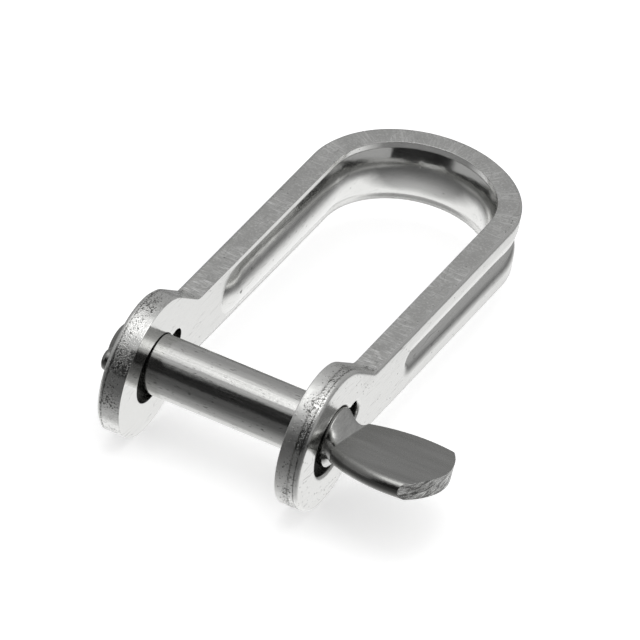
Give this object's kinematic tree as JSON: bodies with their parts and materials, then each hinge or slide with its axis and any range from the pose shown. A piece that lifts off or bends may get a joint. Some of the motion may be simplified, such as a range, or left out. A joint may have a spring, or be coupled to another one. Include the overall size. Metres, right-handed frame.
{
  "type": "flat shackle",
  "caption": "Flat strip shackle with two round eyes, closed by a loose key pin with a flattened blade.",
  "frame": {"origin": "on the key pin's axis, midway between the two ears", "axes": "+X along the pin towards its blade, +Y from the pin towards the crown of the bow, +Z across the strip"},
  "size_m": [0.0291, 0.0459, 0.0119],
  "materials": {
    "strip_steel": "tumbled, with satin sheared edges",
    "pin_steel": "satin, turned"
  },
  "bodies": {
    "shackle": {"bow": "strip_steel"},
    "pin": {"key_pin": "pin_steel"}
  },
  "joints": [
    {"name": "pin_turn", "type": "hinge", "parent": "shackle", "child": "pin", "pos_m": [0, 0, 0], "axis": [1, 0, 0], "continuous": true}
  ]
}
